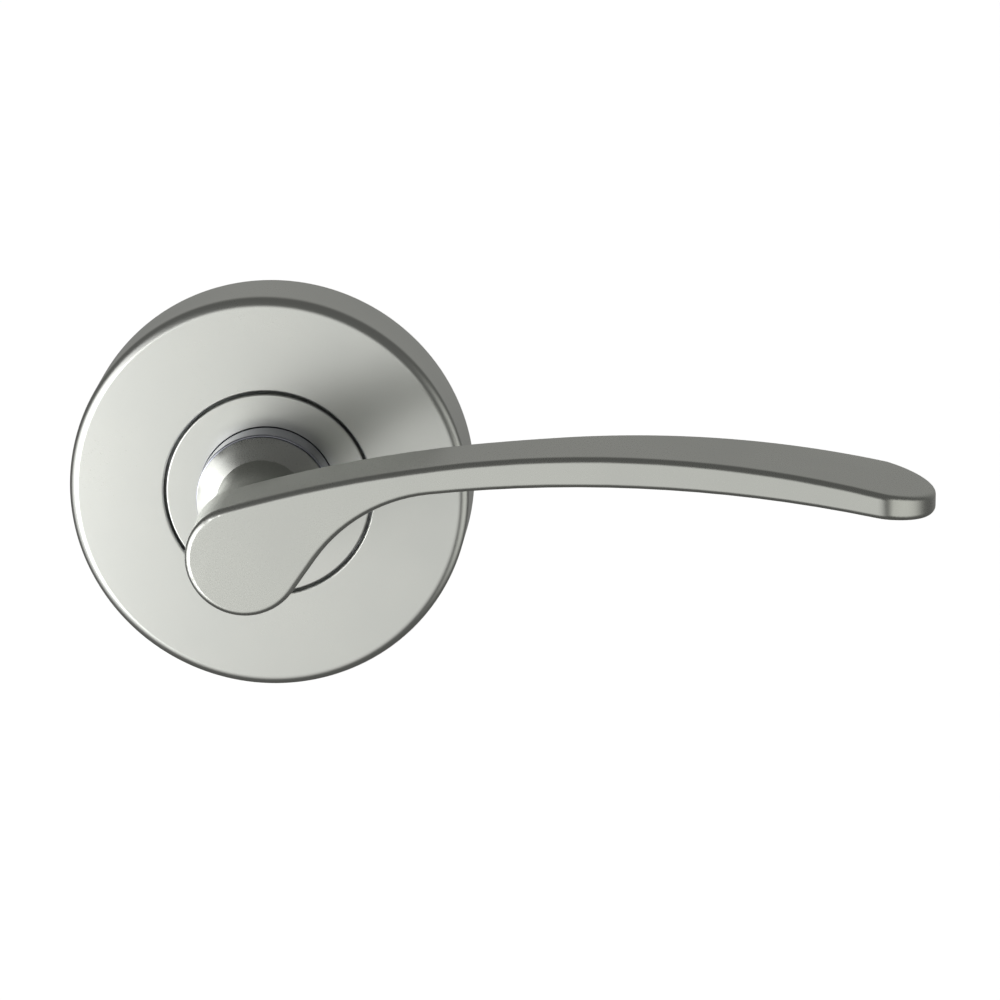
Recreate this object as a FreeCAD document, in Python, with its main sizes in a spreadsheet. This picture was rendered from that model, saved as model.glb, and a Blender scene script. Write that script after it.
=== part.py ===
import FreeCAD, Part
import math
import os
import re
import Sketcher

# A door lever handle on a round sprung rose, in millimetres.
# Origin: where the spindle axis meets the door face. +Z is up, the arm points along +X,
# the front faces -Y and the spindle runs into the door along +Y.
# "Depth" is the distance out from the door face, so depth = -Y.

# Driving dimensions: one spreadsheet cell each.
SIZES = {
    # rose cover, a pressed cup over everything fixed to the door
    "cover_radius": 32.5,
    "rose_depth": 12.7,
    "cover_wall": 1.2,
    "cover_face_wall": 1.5,
    "cover_edge_round": 1.7,
    "cover_lip_wall": 1.2,
    "cover_lip_round": 0.35,
    "cover_fit": 0.3,
    "groove_width": 0.4,
    # snap ring between cover and sub-rose
    "snap_wire_radius": 0.6,
    "snap_depth": 5.05,
    "snap_groove_play": 0.05,
    "snap_bite": 0.2,
    "snap_gap_angle": 24.0,
    # centre disc
    "disc_wall": 1.2,
    "disc_skirt_wall": 1.0,
    "disc_edge_round": 0.3,
    "disc_bore_play": 0.06,
    # bearing
    "shank_radius": 8.0,
    "running_play": 0.05,
    "bush_wall": 1.25,
    "sleeve_wall": 1.84,
    "sleeve_reach": 5.0,
    "sleeve_edge_round": 0.25,
    "nose_washer_wall": 0.45,
    "nose_washer_inset": 0.5,
    # spring chamber
    "front_wall": 2.0,
    "chamber_play": 0.4,
    "thrust_washer_wall": 0.8,
    "spring_wire_radius": 0.65,
    "coil_offset": 2.6,
    "coil_play": 0.15,
    "leg_angle": 9.0,
    "leg_knuckle": 1.25,
    "full_turns": 2.0,
    "pocket_reach": 2.1,
    "pocket_half_angle": 60.0,
    "pocket_cover_wall": 1.0,
    "lug_half_angle": 5.5,
    "hub_wall": 1.7,
    "hub_nose_step": 1.6,
    # sub-rose casting
    "rim_wall": 2.2,
    "web_wall": 1.6,
    "web_rise": 0.3,
    "post_boss_radius": 5.5,
    "screw_boss_radius": 2.8,
    # spring cam and its retention
    "cam_wall": 1.6,
    "cam_margin": 0.2,
    "cam_tab_wall": 1.35,
    "cam_tab_half_angle": 5.1,
    "wing_half_angle": 20.0,
    "travel_angle": 45.0,
    "stop_slack_angle": 1.0,
    "flat_inset": 1.3,
    "key_play": 0.03,
    "circlip_wall": 0.8,
    "circlip_radial": 2.6,
    "circlip_groove": 0.75,
    "circlip_half_opening": 28.0,
    "circlip_eye_radius": 1.35,
    "circlip_eye_hole": 0.55,
    "retaining_washer_wall": 0.5,
    "retaining_washer_radial": 2.3,
    "shank_tail": 0.4,
    # back plate, its screws and the fixing posts
    "plate_wall": 1.2,
    "plate_margin": 0.3,
    "plate_gap": 0.2,
    "plate_bore_play": 1.0,
    "plate_post_play": 0.2,
    "screw_inset": 5.7,
    "screw_radius": 1.25,
    "screw_head_radius": 2.2,
    "screw_end": 6.6,
    "screw_drive_radius": 0.9,
    "screw_drive_depth": 0.6,
    "post_centres": 38.0,
    "post_radius": 4.0,
    "post_seat": 7.0,
    "post_reach": 12.0,
    "post_core_radius": 1.65,
    "post_core_depth": 11.5,
    "post_chamfer": 0.5,
    # spindle and grub screw
    "spindle_side": 8.0,
    "spindle_play": 0.05,
    "spindle_reach": 65.0,
    "spindle_inset": 7.0,
    "spindle_chamfer": 0.8,
    "grub_radius": 2.5,
    "grub_length": 3.5,
    "grub_offset": 6.0,
    "grub_drive_radius": 1.3,
    "grub_drive_depth": 1.8,
    # neck of the lever
    "shoulder_inset": 0.28,
    "shoulder_play": 0.05,
    "shoulder_edge": 0.45,
    "shoulder_cone": 1.6,
    "neck_radius": 7.6,
    "neck_waist_share": 0.45,
    "neck_bell_share": 0.8,
    "neck_bell_growth": 0.45,
    "neck_root_inset": 0.1,
    "shank_chamfer": 0.4,
    # blade of the lever: plan view
    "blade_front": 49.0,
    "root_thickness": 12.5,
    "back_blend_radius": 80.0,
    "back_slope": 8.6,
    "arm_reach": 107.5,
    "tip_front_radius": 5.0,
    "tip_front_turn": 30.0,
    "tip_main_radius": 13.0,
    "tip_main_turn": 55.0,
    "tip_back_radius": 9.5,
    # blade of the lever: front view
    "root_left": 9.1,
    "root_drop": 0.8,
    "root_top_radius": 8.5,
    "top_rise_angle": 17.1,
    "top_rise_radius": 220.0,
    "top_crest_angle": 7.0,
    "top_crest_radius": 182.0,
    "root_low_radius": 9.25,
    "throat_angle": 55.5,
    "throat_length": 6.6,
    "throat_radius": 25.2,
    "low_crest_angle": 7.0,
    "low_crest_radius": 222.0,
    "blade_edge_round": 1.0,
    "overrun": 5.0,
}

# Sizes worked out from the driving ones. Each is written out in full where it is bound.
DERIVED = {
    "cover_inner": "cover_radius - cover_wall",
    "cover_face_back": "rose_depth - cover_face_wall",
    "sub_rose_radius": "cover_inner - cover_fit",
    "sub_rose_inner": "sub_rose_radius - rim_wall",
    "snap_ring_radius": "cover_inner + snap_bite - snap_wire_radius",
    "snap_groove_half": "snap_wire_radius + snap_groove_play",
    "snap_groove_floor": "snap_ring_radius - snap_wire_radius - cover_fit",
    "bush_bore": "shank_radius + running_play",
    "bush_radius": "bush_bore + bush_wall",
    "sleeve_radius": "bush_radius + sleeve_wall",
    "sleeve_front": "rose_depth + sleeve_reach",
    "nose_washer_front": "sleeve_front + nose_washer_wall",
    "shoulder_depth": "nose_washer_front + shoulder_play",
    "hub_front": "rose_depth - disc_wall",
    "chamber_front": "hub_front - front_wall",
    "thrust_washer_back": "chamber_front - thrust_washer_wall",
    "coil_radius": "shank_radius + coil_offset",
    "coil_outer": "coil_radius + spring_wire_radius",
    "cam_radius": "coil_radius + cam_margin",
    "cam_tab_inner": "coil_outer + chamber_play",
    "cam_tab_outer": "cam_tab_inner + cam_tab_wall",
    "chamber_radius": "cam_tab_outer + chamber_play",
    "pocket_radius": "chamber_radius + pocket_reach",
    "hub_radius": "pocket_radius + hub_wall",
    "hub_nose_radius": "hub_radius - hub_nose_step",
    "disc_radius": "hub_nose_radius + disc_skirt_wall",
    "cover_hole": "disc_radius + groove_width",
    "lip_outer": "cover_hole + cover_lip_wall",
    "web_front": "chamber_front + web_rise",
    "web_back": "web_front - web_wall",
    "pocket_front": "web_front - pocket_cover_wall",
    "flat_distance": "shank_radius - flat_inset",
    "circlip_back": "plate_wall + plate_gap",
    "retaining_back": "circlip_back + circlip_wall",
    "cam_back": "retaining_back + retaining_washer_wall",
    "cam_front": "cam_back + cam_wall",
    "coil_start": "cam_front + coil_play + spring_wire_radius",
    "coil_end": "thrust_washer_back - coil_play - spring_wire_radius",
    "leg_end": "pocket_radius - chamber_play",
    "stop_half_angle": "90 - wing_half_angle - travel_angle - stop_slack_angle",
    "plate_radius": "sub_rose_inner - plate_margin",
    "screw_circle": "sub_rose_inner - screw_inset",
    "post_offset": "post_centres / 2",
    "blade_back": "blade_front - root_thickness",
    "spindle_front": "blade_back - spindle_inset",
    "socket_half": "spindle_side / 2 + spindle_play",
    "shoulder_radius": "sleeve_radius - shoulder_inset",
    "neck_start": "shoulder_depth + shoulder_edge + shoulder_cone",
    "grub_depth": "neck_start + grub_offset",
    "grub_outer": "socket_half + grub_length",
    "neck_end": "blade_back + 2 * blade_edge_round",
    "neck_length": "neck_end - neck_start",
}

SCREW_ANGLES = (90, 210, 330)
COIL_STEPS = 16
UP, DOWN = 90, -90

document = FreeCAD.newDocument("LeverHandle")
sheet = document.addObject("Spreadsheet::Sheet", "Sizes")
for row, (alias, size) in enumerate(SIZES.items(), start=1):
    sheet.set(f"A{row}", str(size))
    sheet.setAlias(f"A{row}", alias)
document.recompute()


def written_out(text):
    """Replace derived names by their formulas and driving names by their cells."""
    def swap(match):
        word = match.group()
        if word in DERIVED:
            return f"({written_out(DERIVED[word])})"
        return f"Sizes.{word}" if word in SIZES else word
    return re.sub(r"[a-z][a-z_]*[a-z]", swap, text)


def value(text):
    return float(sheet.evalExpression(written_out(text)))


def bind(item, prop, text):
    item.setExpression(prop, written_out(text))


# ---------------------------------------------------------------- bodies and sketches

def new_body(label):
    body = document.addObject("PartDesign::Body", label)
    body.Label = label
    return body


def origin_plane(body, role):
    return next(item for item in body.Origin.OriginFeatures if item.Role == role)


def face_sketch(body, name, depth="0"):
    """A sketch parallel to the door: its x is X, its y is Z and its normal points out."""
    sketch = body.newObject("Sketcher::SketchObject", name)
    sketch.AttachmentSupport = (origin_plane(body, "XZ_Plane"), "")
    sketch.MapMode = "FlatFace"
    bind(sketch, "AttachmentOffset.Base.z", depth)
    return sketch


def section_sketch(body, name, below="0"):
    """A sketch seen from below: its x is X, its y is depth and its normal points down."""
    sketch = body.newObject("Sketcher::SketchObject", name)
    sketch.AttachmentSupport = (origin_plane(body, "XY_Plane"), "")
    sketch.MapMode = "FlatFace"
    flip = FreeCAD.Rotation(FreeCAD.Vector(1, 0, 0), 180)
    sketch.AttachmentOffset = FreeCAD.Placement(FreeCAD.Vector(0, 0, 0), flip)
    bind(sketch, "AttachmentOffset.Base.z", f"-({below})")
    return sketch


def point(x, y):
    return FreeCAD.Vector(x, y, 0)


def pin_down(sketch, curve, end, across, along):
    """Fix one end or centre of a curve at two distances from the sketch's origin."""
    for kind, text in (("DistanceX", across), ("DistanceY", along)):
        rule = sketch.addConstraint(Sketcher.Constraint(kind, -1, 1, curve, end, value(text)))
        bind(sketch, f"Constraints[{rule}]", text)


def add_polygon(sketch, corners):
    places = [point(value(across), value(along)) for across, along in corners]
    first = sketch.GeometryCount
    count = len(places)
    for number in range(count):
        sketch.addGeometry(Part.LineSegment(places[number], places[(number + 1) % count]))
    for number in range(count):
        sketch.addConstraint(Sketcher.Constraint(
            "Coincident", first + number, 2, first + (number + 1) % count, 1))
        pin_down(sketch, first + number, 1, *corners[number])


def add_circle(sketch, across, along, radius):
    centre = point(value(across), value(along))
    curve = sketch.addGeometry(Part.Circle(centre, FreeCAD.Vector(0, 0, 1), value(radius)))
    pin_down(sketch, curve, 3, across, along)
    rule = sketch.addConstraint(Sketcher.Constraint("Radius", curve, value(radius)))
    bind(sketch, f"Constraints[{rule}]", radius)


def add_sector(sketch, inner, outer, start, stop):
    """A ring sector about the origin, between two radii and two angles in degrees."""
    angles = [math.radians(value(start)), math.radians(value(stop))]
    circles = [Part.Circle(point(0, 0), FreeCAD.Vector(0, 0, 1), value(text))
               for text in (inner, outer)]
    arcs = [sketch.addGeometry(Part.ArcOfCircle(circle, *angles)) for circle in circles]
    sides = []
    for angle in angles:
        ends = [point(value(text) * math.cos(angle), value(text) * math.sin(angle))
                for text in (inner, outer)]
        sides.append(sketch.addGeometry(Part.LineSegment(*ends)))
    for arc, text, end in ((arcs[0], inner, 1), (arcs[1], outer, 2)):
        sketch.addConstraint(Sketcher.Constraint("Coincident", arc, 3, -1, 1))
        for side, arc_end in ((sides[0], 1), (sides[1], 2)):
            sketch.addConstraint(Sketcher.Constraint("Coincident", arc, arc_end, side, end))
        rule = sketch.addConstraint(Sketcher.Constraint("Radius", arc, value(text)))
        bind(sketch, f"Constraints[{rule}]", text)


def add_run(sketch, place, heading, runs, end_x):
    """Tangent arcs and lines from a point on; returns the last curve and its free end.

    A run is (radius, end heading) or, where the radius is None, (None, length).
    The last arc stops at end_x. Headings are in degrees.
    """
    last = None
    for number, (radius, target) in enumerate(runs):
        turn = math.radians(heading)
        if radius is None:
            far = place + point(math.cos(turn), math.sin(turn)) * value(target)
            curve = sketch.addGeometry(Part.LineSegment(place, far))
            ends = (1, 2)
        else:
            size = value(radius)
            left = value(target) > heading
            side = 1 if left else -1
            centre = place + point(-math.sin(turn), math.cos(turn)) * size * side
            goal = math.radians(value(target))
            if number == len(runs) - 1:
                goal = side * math.asin((end_x - centre.x) / size)
            stops = [centre - point(-math.sin(angle), math.cos(angle)) * size * side
                     for angle in ((turn + goal) / 2, goal)]
            curve = sketch.addGeometry(Part.ArcOfCircle(place, *stops))
            far = stops[1]
            heading = math.degrees(goal)
            ends = (1, 2) if left else (2, 1)
            rule = sketch.addConstraint(Sketcher.Constraint("Radius", curve, size))
            bind(sketch, f"Constraints[{rule}]", radius)
        if last is None:
            opening = (curve, ends[0])
        else:
            sketch.addConstraint(Sketcher.Constraint("Tangent", *last, curve, ends[0]))
        last = (curve, ends[1])
        place = far
    return opening, last, place


# ---------------------------------------------------------------- features

def checked(body, feature, before, grows):
    document.recompute()
    change = body.Shape.Volume - before
    if (change > 0) != grows or abs(change) < 1e-6:
        raise RuntimeError(f"{body.Label}: {feature.Label} changes nothing ({change:.3f})")
    return feature


def solid_volume(body):
    document.recompute()
    return 0.0 if body.Shape.isNull() else body.Shape.Volume


def revolve(body, sketch, angle=360):
    before = solid_volume(body)
    feature = body.newObject("PartDesign::Revolution", f"{sketch.Label}_turned")
    feature.Profile = sketch
    feature.ReferenceAxis = (sketch, ["V_Axis"])
    feature.Angle = angle
    sketch.Visibility = False
    return checked(body, feature, before, True)


def pad(body, sketch, length):
    before = solid_volume(body)
    feature = body.newObject("PartDesign::Pad", f"{sketch.Label}_pad")
    feature.Profile = sketch
    bind(feature, "Length", length)
    return checked(body, feature, before, True)


def cut(body, sketch, length, both_ways=False):
    """Cut along the sketch's normal, or through everything on both sides."""
    before = solid_volume(body)
    feature = body.newObject("PartDesign::Pocket", f"{sketch.Label}_cut")
    feature.Profile = sketch
    if both_ways:
        feature.Type = "ThroughAll"
        feature.Midplane = True
    else:
        feature.Reversed = True
        bind(feature, "Length", length)
    return checked(body, feature, before, False)


def round_edges(body, chosen, radius, kind="PartDesign::Fillet"):
    """Fillet or chamfer the tip's edges for which chosen(edge) is true."""
    base = body.Tip
    names = [f"Edge{number}" for number, edge in enumerate(base.Shape.Edges, start=1)
             if chosen(edge)]
    feature = body.newObject(kind, f"{base.Label}_edges")
    feature.Base = (base, names)
    bind(feature, "Radius" if kind.endswith("Fillet") else "Size", radius)
    document.recompute()
    if not names or not feature.isValid():
        raise RuntimeError(f"{body.Label}: edge treatment failed on {names}")
    return feature


def rim_at(radius, depth):
    """Chooses full circles about the Y axis of this radius at this depth."""
    size, place = value(radius), -value(depth)

    def chosen(edge):
        curve = edge.Curve
        return (isinstance(curve, Part.Circle) and abs(curve.Radius - size) < 1e-4
                and abs(curve.Center.y - place) < 1e-4
                and math.hypot(curve.Center.x, curve.Center.z) < 1e-4)
    return chosen


def turned_ring(label, corners):
    body = new_body(label)
    section = section_sketch(body, f"{label}_section")
    add_polygon(section, corners)
    revolve(body, section)
    return body


def washer(label, inner, outer, back, front):
    return turned_ring(label, ((inner, back), (outer, back), (outer, front), (inner, front)))


# ---------------------------------------------------------------- fixed pieces

def make_rose_cover():
    body = turned_ring("rose_cover", (
        ("cover_radius", "0"), ("cover_radius", "rose_depth"),
        ("cover_hole", "rose_depth"), ("cover_hole", "web_front + plate_gap"),
        ("lip_outer", "web_front + plate_gap"), ("lip_outer", "cover_face_back"),
        ("cover_inner", "cover_face_back"),
        ("cover_inner", "snap_depth + snap_groove_half"),
        ("cover_inner + snap_bite", "snap_depth + snap_groove_half"),
        ("cover_inner + snap_bite", "snap_depth - snap_groove_half"),
        ("cover_inner", "snap_depth - snap_groove_half"), ("cover_inner", "0")))
    round_edges(body, rim_at("cover_radius", "rose_depth"), "cover_edge_round")
    round_edges(body, rim_at("cover_hole", "rose_depth"), "cover_lip_round")
    return body


def make_centre_disc():
    bore = "sleeve_radius + disc_bore_play"
    body = turned_ring("centre_disc", (
        (bore, "hub_front"), (bore, "rose_depth"), ("disc_radius", "rose_depth"),
        ("disc_radius", "web_front + plate_gap"), ("hub_nose_radius", "web_front + plate_gap"),
        ("hub_nose_radius", "hub_front")))
    round_edges(body, rim_at("disc_radius", "rose_depth"), "disc_edge_round")
    return body


def make_bearing_sleeve():
    body = washer("bearing_sleeve", "bush_radius", "sleeve_radius",
                  "chamber_front", "sleeve_front")
    round_edges(body, rim_at("sleeve_radius", "sleeve_front"), "sleeve_edge_round")
    return body


def make_snap_ring():
    """Round wire, open at the top, half in the sub-rose and half in the cover."""
    body = new_body("cover_snap_ring")
    wire = section_sketch(body, "snap_wire")
    add_circle(wire, "snap_ring_radius", "snap_depth", "snap_wire_radius")
    ring = revolve(body, wire)
    bind(ring, "Angle", "360 - snap_gap_angle")
    return body


def boss_places():
    """Centres of the post bosses, then of the screw bosses, as formulas."""
    posts = [("post_offset", "0"), ("-post_offset", "0")]
    screws = [(f"screw_circle * cos({angle})", f"screw_circle * sin({angle})")
              for angle in SCREW_ANGLES]
    return posts, screws


def make_sub_rose():
    body = turned_ring("sub_rose", (
        ("sleeve_radius", "chamber_front"), ("chamber_radius", "chamber_front"),
        ("chamber_radius", "plate_wall"), ("hub_radius", "plate_wall"),
        ("hub_radius", "web_back"), ("sub_rose_inner", "web_back"), ("sub_rose_inner", "0"),
        ("sub_rose_radius", "0"),
        ("sub_rose_radius", "snap_depth - snap_groove_half"),
        ("snap_groove_floor", "snap_depth - snap_groove_half"),
        ("snap_groove_floor", "snap_depth + snap_groove_half"),
        ("sub_rose_radius", "snap_depth + snap_groove_half"),
        ("sub_rose_radius", "web_front"), ("hub_nose_radius", "web_front"),
        ("hub_nose_radius", "hub_front"), ("sleeve_radius", "hub_front")))

    posts, screws = boss_places()
    for name, places, radius in (("post_bosses", posts, "post_boss_radius"),
                                 ("screw_bosses", screws, "screw_boss_radius")):
        bosses = face_sketch(body, name, "plate_wall")
        for across, along in places:
            add_circle(bosses, across, along, radius)
        pad(body, bosses, "web_front - web_wall / 2 - plate_wall")

    # two pockets for the spring legs, with the anchor lug left standing between them
    pockets = face_sketch(body, "leg_pockets", "plate_wall")
    for start, stop in (("90 - pocket_half_angle", "90 - lug_half_angle"),
                        ("90 + lug_half_angle", "90 + pocket_half_angle")):
        add_sector(pockets, "chamber_radius - chamber_play / 2", "pocket_radius", start, stop)
    cut(body, pockets, "pocket_front - plate_wall")

    # turn stops, one each side of the cam's wing
    stops = face_sketch(body, "turn_stops", "plate_wall")
    for middle in ("0", "180"):
        add_sector(stops, "cam_radius + chamber_play", "chamber_radius + hub_wall / 2",
                   f"{middle} - stop_half_angle", f"{middle} + stop_half_angle")
    pad(body, stops, "cam_front - plate_wall")

    seats = face_sketch(body, "post_seats", "plate_wall")
    for across, along in posts:
        add_circle(seats, across, along, "post_radius")
    cut(body, seats, "post_seat - plate_wall")
    threads = face_sketch(body, "screw_threads", "plate_wall")
    for across, along in screws:
        add_circle(threads, across, along, "screw_radius")
    cut(body, threads, "screw_end - plate_wall")
    return body


def make_fixing_posts():
    body = new_body("fixing_posts")
    posts, _ = boss_places()
    outer = face_sketch(body, "post_rods", "-post_reach")
    core = face_sketch(body, "post_cores", "-post_reach")
    for across, along in posts:
        add_circle(outer, across, along, "post_radius")
        add_circle(core, across, along, "post_core_radius")
    pad(body, outer, "post_reach + post_seat")
    cut(body, core, "post_core_depth")
    size, place = value("post_radius"), value("post_reach")
    round_edges(body, lambda edge: isinstance(edge.Curve, Part.Circle)
                and abs(edge.Curve.Radius - size) < 1e-4
                and abs(edge.Curve.Center.y - place) < 1e-4,
                "post_chamfer", "PartDesign::Chamfer")
    return body


def make_back_plate():
    body = new_body("back_plate")
    posts, screws = boss_places()
    plate = face_sketch(body, "plate_outline")
    add_circle(plate, "0", "0", "plate_radius")
    add_circle(plate, "0", "0", "shank_radius + plate_bore_play")
    for across, along in posts:
        add_circle(plate, across, along, "post_radius + plate_post_play")
    for across, along in screws:
        add_circle(plate, across, along, "screw_radius")
    pad(body, plate, "plate_wall")
    sinks = face_sketch(body, "countersinks")
    for across, along in screws:
        add_circle(sinks, across, along, "screw_head_radius")
    sink = cut(body, sinks, "screw_head_radius - screw_radius")
    sink.TaperAngle = -45
    document.recompute()
    return body


def make_plate_screws():
    """Countersunk screws, heads flush with the door face, with a hexagon drive."""
    body = new_body("back_plate_screws")
    _, screws = boss_places()
    shanks = face_sketch(body, "screw_shanks")
    heads = face_sketch(body, "screw_heads")
    drives = face_sketch(body, "screw_drives")
    for across, along in screws:
        add_circle(shanks, across, along, "screw_radius")
        add_circle(heads, across, along, "screw_head_radius")
        add_polygon(drives, hexagon(across, along, "screw_drive_radius"))
    pad(body, shanks, "screw_end")
    head = pad(body, heads, "screw_head_radius - screw_radius")
    head.TaperAngle = -45
    cut(body, drives, "screw_drive_depth")
    return body


def hexagon(across, along, radius):
    return [(f"{across} + {radius} * cos({angle})", f"{along} + {radius} * sin({angle})")
            for angle in range(0, 360, 60)]


def make_return_spring():
    """A torsion spring: close turns of round wire and two legs that point up."""
    turns = value("full_turns") - 2 * value("leg_angle") / 360
    radius, wire = value("coil_radius"), value("spring_wire_radius")
    start, end = value("coil_start"), value("coil_end")
    first_angle = math.radians(90 + value("leg_angle"))

    def along_coil(share):
        angle = first_angle + share * turns * 2 * math.pi
        outward = FreeCAD.Vector(math.cos(angle), 0, math.sin(angle))
        return outward, outward * radius - FreeCAD.Vector(0, start + share * (end - start), 0)

    path = Part.BSplineCurve()
    path.interpolate([along_coil(step / COIL_STEPS)[1] for step in range(COIL_STEPS + 1)])
    heading = path.tangent(path.FirstParameter)[0]
    section = Part.Wire([Part.Circle(along_coil(0)[1], heading, wire).toShape()])
    coil = Part.Wire([path.toShape()]).makePipeShell([section], True, True)
    knuckle = wire * value("leg_knuckle")
    for share in (0, 1):
        outward, bend = along_coil(share)
        leg = Part.makeCylinder(wire, value("leg_end") - radius, bend, outward)
        coil = coil.fuse(leg.fuse(Part.makeSphere(knuckle, bend)))
    spring = document.addObject("Part::Feature", "return_spring")
    spring.Label = "return_spring"
    spring.Shape = coil
    spring.Placement = FreeCAD.Placement()
    return spring


# ---------------------------------------------------------------- moving pieces

def double_flat(sketch, play):
    """The shank's section behind the bearing: a circle with two vertical flats."""
    radius = value(f"shank_radius + {play}")
    flat = value(f"flat_distance + {play}")
    angle = math.acos(flat / radius)
    circle = Part.Circle(point(0, 0), FreeCAD.Vector(0, 0, 1), radius)
    height = radius * math.sin(angle)
    arcs = [sketch.addGeometry(Part.ArcOfCircle(circle, angle + turn, math.pi - angle + turn))
            for turn in (0, math.pi)]
    left = sketch.addGeometry(Part.LineSegment(point(-flat, height), point(-flat, -height)))
    right = sketch.addGeometry(Part.LineSegment(point(flat, -height), point(flat, height)))
    for pair in ((arcs[0], 2, left, 1), (left, 2, arcs[1], 1),
                 (arcs[1], 2, right, 1), (right, 2, arcs[0], 1)):
        sketch.addConstraint(Sketcher.Constraint("Coincident", *pair))
    for arc in arcs:
        sketch.addConstraint(Sketcher.Constraint("Coincident", arc, 3, -1, 1))
    rule = sketch.addConstraint(Sketcher.Constraint("Radius", arcs[0], radius))
    bind(sketch, f"Constraints[{rule}]", f"shank_radius + {play}")
    for line, sign in ((left, "-"), (right, "")):
        sketch.addConstraint(Sketcher.Constraint("Vertical", line))
        text = f"{sign}(flat_distance + {play})"
        rule = sketch.addConstraint(
            Sketcher.Constraint("DistanceX", -1, 1, line, 1, value(text)))
        bind(sketch, f"Constraints[{rule}]", text)


def make_spring_cam():
    body = new_body("spring_cam")
    plate = face_sketch(body, "cam_plate", "cam_back")
    add_circle(plate, "0", "0", "cam_radius")
    double_flat(plate, "key_play")
    pad(body, plate, "cam_wall")
    arms = face_sketch(body, "cam_arms", "cam_back")
    for middle, half in ((UP, "cam_tab_half_angle"), (DOWN, "wing_half_angle")):
        add_sector(arms, "cam_radius - cam_margin", "cam_tab_outer",
                   f"{middle} - {half}", f"{middle} + {half}")
    pad(body, arms, "cam_wall")
    tab = face_sketch(body, "cam_tab", "cam_back")
    add_sector(tab, "cam_tab_inner", "cam_tab_outer",
               f"{UP} - cam_tab_half_angle", f"{UP} + cam_tab_half_angle")
    pad(body, tab, "coil_end + spring_wire_radius - cam_back")
    return body


def make_circlip():
    """An external circlip, open at the bottom, with an eye at each end."""
    body = new_body("circlip")
    inner = "shank_radius - circlip_groove"
    outer = "shank_radius - circlip_groove + circlip_radial"
    start, stop = f"{DOWN} + circlip_half_opening", f"{DOWN + 360} - circlip_half_opening"
    ring = face_sketch(body, "circlip_ring", "circlip_back")
    add_sector(ring, inner, outer, start, stop)
    pad(body, ring, "circlip_wall")
    eyes = face_sketch(body, "circlip_eyes", "circlip_back")
    holes = face_sketch(body, "circlip_eye_holes", "circlip_back")
    middle = "(shank_radius + running_play + circlip_eye_radius)"
    for angle in (start, stop):
        place = (f"{middle} * cos({angle})", f"{middle} * sin({angle})")
        add_circle(eyes, *place, "circlip_eye_radius")
        add_circle(holes, *place, "circlip_eye_hole")
    pad(body, eyes, "circlip_wall")
    cut(body, holes, "circlip_wall")
    return body


def make_spindle():
    body = new_body("spindle")
    side = "spindle_side / 2"
    square = face_sketch(body, "spindle_square", "-spindle_reach")
    add_polygon(square, ((side, side), (f"-{side}", side), (f"-{side}", f"-{side}"),
                         (side, f"-{side}")))
    pad(body, square, "spindle_reach + spindle_front")
    far = value("spindle_reach")
    near = -value("spindle_front")

    def end_edge(edge):
        return any(all(abs(corner.Y - place) < 1e-6 for corner in edge.Vertexes)
                   for place in (far, near))
    round_edges(body, end_edge, "spindle_chamfer", "PartDesign::Chamfer")
    return body


def make_grub_screw():
    body = new_body("grub_screw")
    rod = section_sketch(body, "grub_rod", "socket_half")
    add_circle(rod, "0", "grub_depth", "grub_radius")
    pad(body, rod, "grub_length")
    drive = section_sketch(body, "grub_drive", "grub_outer - grub_drive_depth")
    add_polygon(drive, hexagon("0", "grub_depth", "grub_drive_radius"))
    cut(body, drive, "grub_drive_depth")
    return body


def front_outline(sketch):
    """The blade seen from the front: a round root that sweeps into the curved arm."""
    root = point(-value("root_left"), -value("root_drop"))
    end_x = value("arm_reach + overrun")
    top = (("root_top_radius", "top_rise_angle"), ("top_rise_radius", "top_crest_angle"),
           ("top_crest_radius", "-90"))
    low = (("root_low_radius", "throat_angle"), (None, "throat_length"),
           ("throat_radius", "low_crest_angle"), ("low_crest_radius", "-90"))
    top_start, top_end, top_far = add_run(sketch, root, UP, top, end_x)
    low_start, low_end, low_far = add_run(sketch, root, DOWN, low, end_x)
    end = sketch.addGeometry(Part.LineSegment(top_far, low_far))
    for pair in ((*top_start, *low_start), (*top_end, end, 1), (*low_end, end, 2)):
        sketch.addConstraint(Sketcher.Constraint("Coincident", *pair))


def beside(heading, radius):
    """From the centre of a right-hand arc to its point with this heading."""
    return point(-math.sin(heading), math.cos(heading)) * radius


def tip_arcs():
    """The tip's right-hand arcs from the front face on: centre, radius, two headings."""
    front_turn = -math.radians(value("tip_front_turn"))
    main_turn = front_turn - math.radians(value("tip_main_turn"))
    headings = (0.0, front_turn, main_turn, math.radians(value("back_slope")) - math.pi)
    names = ("tip_front_radius", "tip_main_radius", "tip_back_radius")
    place = point(0, value("blade_front"))
    arcs = []
    for name, start, stop in zip(names, headings, headings[1:]):
        radius = value(name)
        centre = place - beside(start, radius)
        arcs.append((centre, radius, start, stop))
        place = centre + beside(stop, radius)
    return arcs


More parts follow.
